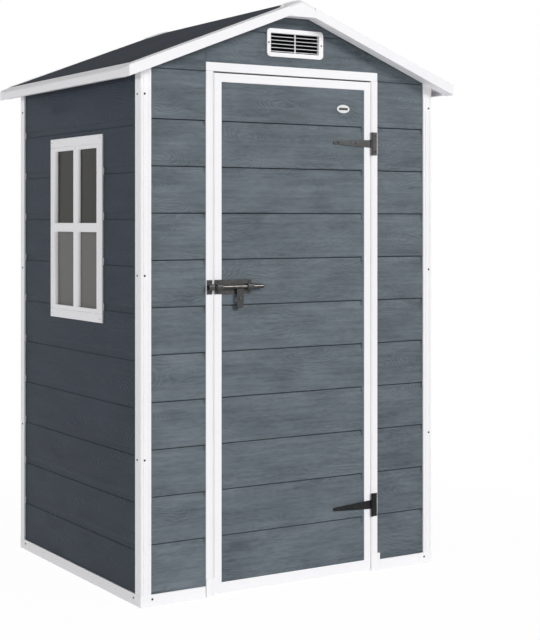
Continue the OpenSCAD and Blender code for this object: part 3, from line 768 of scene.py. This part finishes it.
def frontVent(material, screwMetal, shadeSheetBlack):
    low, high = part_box("front_vent")
    middle = ventCentre()
    halfWide, halfTall = vent["opening"]
    face, wallFront = low.y, low.y + vent["faceDepth"]
    hole = [Vector((middle.x + side * halfWide, 0, middle.z + side * halfTall))
            for side in (-1, 1)]
    bm = bmesh.new()
    boxIn(bm, (low.x + vent["leftIn"], face, low.z), (high.x, wallFront, high.z - vent["topIn"]))
    roundEdges(bm, vent["corner"], segments=5, only=lambda edge: runsAlong(edge, front))
    punch(bm, front, *hole)
    roundEdges(bm, vent["edge"], only=lambda edge: allAt(edge, front, -face))
    liner = bmesh.new()
    wall = Vector((vent["wall"], 0, vent["wall"]))
    boxIn(liner, hole[0] - wall + back * wallFront, hole[1] + wall + back * vent["backAt"])
    punch(liner, front, *hole)
    joinIn(bm, liner)
    slatFace = face + vent["slatBack"]
    slatBack = slatFace + vent["slatDepth"]
    height = middle.z + halfTall - vent["pitch"] + vent["slat"]
    while height > middle.z - halfTall:
        slat = bmesh.new()
        boxIn(slat, (middle.x - halfWide, slatFace, height - vent["slat"]),
              (middle.x + halfWide, slatBack, height))
        roundEdges(slat, vent["slatEdge"], only=lambda edge: allAt(edge, front, -slatFace))
        joinIn(bm, slat)
        height -= vent["pitch"]
    boxIn(bm, (middle.x - vent["mullion"] / 2, slatFace - vent["proud"], middle.z - halfTall),
          (middle.x + vent["mullion"] / 2, slatBack, middle.z + halfTall))
    finishPiece(bm, "vent_grille", "shed", material, ["front_vent"])
    # a near-black sheet behind the slats: painted shade that stands for the dark inside of the
    # shed
    bm = bmesh.new()
    boxIn(bm, hole[0] - wall + back * vent["backAt"],
          hole[1] + wall + back * (vent["backAt"] + vent["shadeSheet"]))
    roundEdges(bm, vent["shadeSheetEdge"], segments=1)
    finishPiece(bm, "vent_shade_sheet", "shed", shadeSheetBlack)
    bm = bmesh.new()
    for side in (-1, 1):
        addScrew(bm, (middle.x + side * (high.x - middle.x - vent["screwIn"]), face, middle.z),
                 front, *vent["screw"])
    finishPiece(bm, "vent_screws", "shed", screwMetal)


rim = {"corner": 0.0040, "brow": 0.0120, "eaveBrow": 0.0040, "edge": 0.0009,  # roundings
       "crest": 0.014, "lift": 0.0050,  # the top edge stands this much higher
       "dip": 0.0018, "lip": 0.0030, "slant": (0.3, 0.999)}
ridge = {"block": 0.052, "bandWide": 0.038, "bandDrop": 0.003, "faceBack": 0.0005,
         "panelThick": 0.0185, "edge": 0.0009, "over": 0.01, "saddleDeep": 0.04}


def isBrow(edge, outward, level):
    # the upper edge of the face that looks outward
    low, high = rim["slant"]
    return (allAt(edge, outward, level)
            and any(low < face.normal.z < high for face in edge.link_faces))


def staysSharp(edge, lengthwise):
    # edges where one piece of the rim runs into the next
    return (all(abs(abs(v.co.y) - lengthwise) < tiny for v in edge.verts)
            or all(abs(abs(v.co.x) - ridge["block"]) < tiny for v in edge.verts))


def roofRim(material):
    eaveEnd = abs(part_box("eave_trim_left")[0].y)
    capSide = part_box("ridge_caps")[1].x
    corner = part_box("eave_trim_right")[1].x
    panelSide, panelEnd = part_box("roof_panel_right")[1].xy
    slope = math.tan(pitchAngle)
    for side, outX in (("left", left), ("right", right)):
        bm = copyOf("eave_trim_" + side)
        roundEdges(bm, rim["eaveBrow"], segments=3,
                   only=lambda edge: isBrow(edge, outX, corner))
        roundEdges(bm, rim["edge"], only=lambda edge: not staysSharp(edge, eaveEnd))
        finishPiece(bm, "eave_trim_" + side + "_moulding", "shed", material,
                    ["eave_trim_" + side])
        for end, outY in (("front", front), ("back", back)):
            node = "rake_trim_" + end + "_" + side
            rimEnd = max(abs(value.y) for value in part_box(node))
            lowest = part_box(node)[0].z
            bm = copyOf(node)
            for vert in bm.verts:
                if abs(vert.co.x) < capSide + tiny:
                    vert.co.z += (abs(vert.co.x) - ridge["block"]) * slope
                    vert.co.x = math.copysign(ridge["block"], vert.co.x)
                rise = vert.co.z - lowest - (corner - abs(vert.co.x)) * slope
                if vert.co.dot(outY) > rimEnd - tiny and rise > rim["crest"]:
                    vert.co.z += rim["lift"]
                if vert.co.z < lowest + tiny:
                    vert.co.z -= rim["dip"]
                if abs(vert.co.y - panelEnd) < tiny and abs(vert.co.x) > panelSide - tiny:
                    vert.co.z += rim["lip"]
            roundEdges(bm, rim["corner"], segments=3,
                       only=lambda edge: (allAt(edge, outX, corner)
                                          and allAt(edge, outY, rimEnd)))
            roundEdges(bm, rim["brow"], segments=4,
                       only=lambda edge: isBrow(edge, outY, rimEnd))
            roundEdges(bm, rim["edge"], only=lambda edge: not staysSharp(edge, eaveEnd))
            finishPiece(bm, node + "_moulding", "shed", material, [node])


def ridgeCaps(material):
    low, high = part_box("ridge_caps")
    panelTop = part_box("roof_panel_left")[1].z
    wallLine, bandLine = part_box("eave_trim_left")[1].y, high.y - ridge["bandWide"]
    capEnd = min(abs(v.co.y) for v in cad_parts["ridge_caps"].data.vertices)
    face, halfWide = high.y - ridge["faceBack"], ridge["block"]
    bottom = low.z + (high.x - halfWide) * math.tan(pitchAngle)
    capTop = high.z - panelTop
    bm = bmesh.new()
    for outward in (front, back):
        # the end block, cut to the band's slant on both sides
        block = bmesh.new()
        boxIn(block, (-halfWide, outward.y * bandLine, bottom),
              (halfWide, outward.y * face, high.z + ridge["over"]))
        edgeOn = outward * high.y + up * (panelTop - ridge["bandDrop"] / math.cos(pitchAngle))
        for side in (right, left):
            cutAt(block, up * high.z, slopeOut(side), clear=True)
            band = (outward * (ridge["bandDrop"] + capTop * math.cos(pitchAngle))
                    + slopeOut(side) * ridge["bandWide"])
            cutAt(block, edgeOn, band, clear=True)
        roundEdges(block, rim["brow"], segments=4,
                   only=lambda edge: isBrow(edge, outward, face))
        roundEdges(block, ridge["edge"], only=lambda edge: not staysSharp(edge, bandLine))
        joinIn(bm, block)
        # the filling between the wall and the block
        soffit = bmesh.new()
        boxIn(soffit, (-halfWide, outward.y * wallLine, bottom),
              (halfWide, outward.y * bandLine, high.z))
        for side in (right, left):
            cutAt(soffit, up * (panelTop - ridge["panelThick"] / math.cos(pitchAngle)),
                  slopeOut(side), clear=True)
        joinIn(bm, soffit)
        # the saddle on the roof, which tapers towards its far end
        saddle = bmesh.new()
        for side in (right, left):
            half = bmesh.new()
            boxIn(half, (0, outward.y * capEnd, panelTop - ridge["saddleDeep"]),
                  (side.x * high.x, outward.y * bandLine, high.z + ridge["over"]))
            cutAt(half, up * high.z, slopeOut(side), clear=True)
            cutAt(half, up * panelTop, -slopeOut(side), clear=True)
            taper = side * (wallLine - capEnd) - outward * high.x
            cutAt(half, outward * capEnd, taper, clear=True)
            joinIn(saddle, half)
        bmesh.ops.remove_doubles(saddle, verts=saddle.verts, dist=tiny)
        inner = [face for face in saddle.faces if all(abs(v.co.x) < tiny for v in face.verts)]
        bmesh.ops.delete(saddle, geom=inner, context="FACES")
        joinIn(bm, saddle)
    finishPiece(bm, "ridge_caps_moulding", "shed", material, ["ridge_caps"])


frameScrews = {"heights": (0.467, 1.052, 1.630), "railHeight": 0.023,
               "front": {"posts": 0.015, "rails": (0.042, 0.035)},
               "side": {"posts": 0.023, "rails": (0.050, 0.050)}}


def makeFrameScrews(material):
    low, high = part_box("corner_post_front_left")[0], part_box("corner_post_back_right")[1]
    size = (screw["radius"], screw["height"])
    bm = bmesh.new()
    for outward in (front, back, left, right):
        inset = frameScrews["side" if outward in (left, right) else "front"]
        along = up.cross(outward)
        face, halfWide = outward * reachOf(outward, low, high), abs(high.dot(along))
        for side, railIn in zip((-1, 1), inset["rails"]):
            for height in frameScrews["heights"]:
                addScrew(bm, face + along * side * (halfWide - inset["posts"]) + up * height,
                         outward, *size)
            addScrew(bm, face + along * side * (halfWide - railIn)
                     + up * frameScrews["railHeight"], outward, *size)
    finishPiece(bm, "frame_screws", "shed", material)


# the knuckles' span gives where their painted shadow runs
hinge = {"edge": 0.0006, "plateIn": 0.0036, "knuckleShade": (0.3175, 0.3263),
         "strapBack": 0.0026, "strapGrow": 0.10, "lowGrow": 0.30,  # the lower one grows upwards
         "plateScrew": 0.028, "plateScrewIn": 0.0095, "strapScrews": (0.020, 0.092),
         "radius": 0.0036}


def makeHinges(metals, screwMetal):
    plateScrews, strapScrews = bmesh.new(), bmesh.new()
    for level, metal in metals.items():
        plate, strap = "hinge_plate_" + level, "hinge_strap_" + level
        low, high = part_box(plate)
        middleZ = (low.z + high.z) / 2
        bm = copyOf(plate)
        for vert in bm.verts:
            if vert.co.x > high.x - tiny:
                vert.co.x -= hinge["plateIn"]
        roundEdges(bm, hinge["edge"])
        finishPiece(bm, plate + "_pressed", "shed", metal, [plate])
        bm = copyOf(strap)
        for vert in bm.verts:
            if vert.co.y > leafFace - hinge["strapBack"]:
                above = vert.co.z - middleZ
                vert.co.z += above * hinge["strapGrow"]
                if level == "lower" and above > 0:
                    vert.co.z += above * hinge["lowGrow"]
        roundEdges(bm, hinge["edge"])
        finishPiece(bm, strap + "_pressed", "door", metal, [strap])
        for side in (-1, 1):
            plateScrew(plateScrews, high.x - hinge["plateScrewIn"], frameFace,
                       middleZ + side * hinge["plateScrew"], hinge["radius"])
        low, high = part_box(strap)
        for step in hinge["strapScrews"]:
            plateScrew(strapScrews, low.x + step, leafFace, (low.z + high.z) / 2,
                       hinge["radius"])
    finishPiece(plateScrews, "hinge_plate_screws", "shed", screwMetal)
    finishPiece(strapScrews, "hinge_strap_screws", "door", screwMetal)


bolt = {"haspBelow": 0.0155, "rodDown": 0.007, "hoop": 0.0070, "edge": 0.0005, "tip": 0.0042,
        "padScrew": 0.0170, "padScrewIn": 0.011, "radius": 0.0034}


def makeBolt(metal, rodMetal, screwMetal):
    low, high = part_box("bolt_bar")
    heights = [high.z - bolt["rodDown"] + side * bolt["padScrew"] for side in (-1, 1)]
    for node, body in (("latch_plate", "door"), ("bolt_keeper", "shed")):
        bm = copyOf(node)
        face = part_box(node)[0].y
        roundEdges(bm, bolt["hoop"], segments=6,
                   only=lambda edge: runsAlong(edge, right) and allAt(edge, front, -face))
        roundEdges(bm, bolt["edge"], segments=1, angle=50)
        finishPiece(bm, node + "_pressed", body, metal, [node])
    bm = copyOf("bolt_bar")
    roundEdges(bm, bolt["tip"], segments=4,
               only=lambda edge: allAt(edge, left, -low.x) or allAt(edge, right, high.x))
    roundEdges(bm, bolt["edge"], segments=1, angle=50)
    finishPiece(bm, "bolt_rod", "bolt", rodMetal, ["bolt_bar"])
    plate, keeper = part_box("latch_plate"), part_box("bolt_keeper")
    bm = bmesh.new()
    for x in (plate[0].x + bolt["padScrewIn"], plate[1].x - bolt["padScrewIn"]):
        for z in heights:
            plateScrew(bm, x, leafFace, z, bolt["radius"])
    finishPiece(bm, "latch_screws", "door", screwMetal)
    bm = bmesh.new()
    for z in heights:
        plateScrew(bm, (keeper[0].x + keeper[1].x) / 2, frameFace, z, bolt["radius"])
    finishPiece(bm, "keeper_screws", "shed", screwMetal)


badge = {"size": 0.91, "sides": 48, "step": 0.0006, "rim": 0.0022, "field": (0.038, 0.0080),
         "fieldAt": (0.0008, 0.0003), "fieldRound": 0.45}


def makeBadge(plateFinish, fieldFinish):
    low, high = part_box("badge_plate")
    middle, size = (low + high) / 2, high - low
    step = badge["step"]
    shape = Matrix.Diagonal((size.x / 2 * badge["size"], size.z / 2 * badge["size"], 1, 1))
    place = (Matrix.Translation((middle.x, high.y, middle.z))
             @ Matrix.Rotation(math.radians(90), 4, "X") @ shape)
    bm = bmesh.new()
    bmesh.ops.create_circle(bm, cap_ends=True, segments=badge["sides"], radius=1, matrix=place)
    grown = bmesh.ops.extrude_face_region(bm, geom=bm.faces[:])
    shifted = [part for part in grown["geom"] if isinstance(part, bmesh.types.BMVert)]
    bmesh.ops.translate(bm, verts=shifted, vec=front * (size.y - step))
    bmesh.ops.recalc_face_normals(bm, faces=bm.faces)
    top = min(bm.faces, key=lambda each: each.calc_center_median().y)
    for inward, rise in ((step, step), (badge["rim"], 0), (step, -step)):
        bmesh.ops.inset_region(bm, faces=[top], thickness=inward, depth=rise)
    finishPiece(bm, "badge_oval", "door", plateFinish, ["badge_plate"])
    bm = bmesh.new()
    half = Vector((badge["field"][0] / 2, 0, badge["field"][1] / 2))
    behind, inFront = (back * (low.y + depth - middle.y) for depth in badge["fieldAt"])
    boxIn(bm, middle - half + behind, middle + half + inFront)
    roundEdges(bm, badge["field"][1] * badge["fieldRound"], segments=4,
               only=lambda edge: runsAlong(edge, front))
    finishPiece(bm, "badge_field", "door", fieldFinish)


def dress(material, *nodes):
    for node in nodes:
        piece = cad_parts[node]
        if not piece.material_slots:
            piece.data.materials.append(material)
        for each in piece.material_slots:
            each.material = material


makeCamera()
makeWorld()
for name, lamp in studio["lamps"].items():
    makeSun(name, *lamp)
makeStage()
print("stage done")

doorPanel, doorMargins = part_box("door_panel"), boards["ends"]["door"]
doorEnds = (doorPanel[0].x + doorMargins[0], doorPanel[1].x - doorMargins[1])
frontBoards = boardMaterial("boards_front", "front", seed=3.0)
# the boards beside the hinges, on the door and on the side walls darken towards the bottom:
# painted shade
hingeSideBoards = boardMaterial("boards_hinge_side", "front", seed=3.0, lowShade=0.22)
doorBoards = boardMaterial("boards_door", "front", seed=41.0, lowShade=0.08, ends=doorEnds)
# the side walls' boards: a darker copy of the front boards, painted shade
shadedSideBoards = boardMaterial("boards_side_painted_shade", "side", seed=17.0, lowShade=0.34)
white, badgeWhite = trimMaterial("white_resin"), trimMaterial("badge_silver")
blackMetal, screwMetal = metalMaterial("black_coat"), metalMaterial("screw_metal")
ventShadeBlack, badgeDark = metalMaterial("shade_sheet_black"), metalMaterial("badge_dark")
# the lower hinge gets the darker copy of the coat, painted shade
hingeMetals = {"upper": metalMaterial("hinge_coat", hinge["knuckleShade"]),
               "lower": metalMaterial("hinge_coat_low_painted_shade", hinge["knuckleShade"])}
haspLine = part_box("latch_plate")[0].z + bolt["haspBelow"]
boltMetal = metalMaterial("bolt_metal", dullBelow=haspLine)
print("finishes done")

boardPanel("front_boards_left", "front_wall_left", front, "front", frontBoards,
           topSeam=boards["gableSeam"])
boardPanel("front_boards_right", "front_wall_right", front, "front", hingeSideBoards,
           topSeam=boards["gableSeam"])
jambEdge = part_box("door_header")[1].x
boardPanel("gable_boards", "front_gable", front, "gable", frontBoards, opening=ventHole(),
           seams=(-jambEdge, jambEdge))
boardPanel("back_boards", "back_wall", back, "back", frontBoards)
boardPanel("left_boards", "left_wall", left, "left", shadedSideBoards, opening=windowSpan())
boardPanel("right_boards", "right_wall", right, "right", shadedSideBoards)
boardPanel("door_boards", "door_panel", front, "door", doorBoards, "door")
print("boards done")

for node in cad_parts:
    if node.startswith("corner_post"):
        cornerPost(node, white)
for node in rails:
    straightRail(node, white)
doorFrame(white)
doorSeals(white)
print("frame done")

roofRim(white)
ridgeCaps(white)
dress(roofMaterial(), "roof_panel_left", "roof_panel_right")
print("roof done")

windowFrame(white, screwMetal)
frontVent(white, screwMetal, ventShadeBlack)
makeFrameScrews(screwMetal)
makeHinges(hingeMetals, screwMetal)
makeBolt(blackMetal, boltMetal, screwMetal)
makeBadge(badgeWhite, badgeDark)
dress(paneMaterial(), "window_glass")
dress(floorMaterial(), "floor_panel")
print("hardware done")
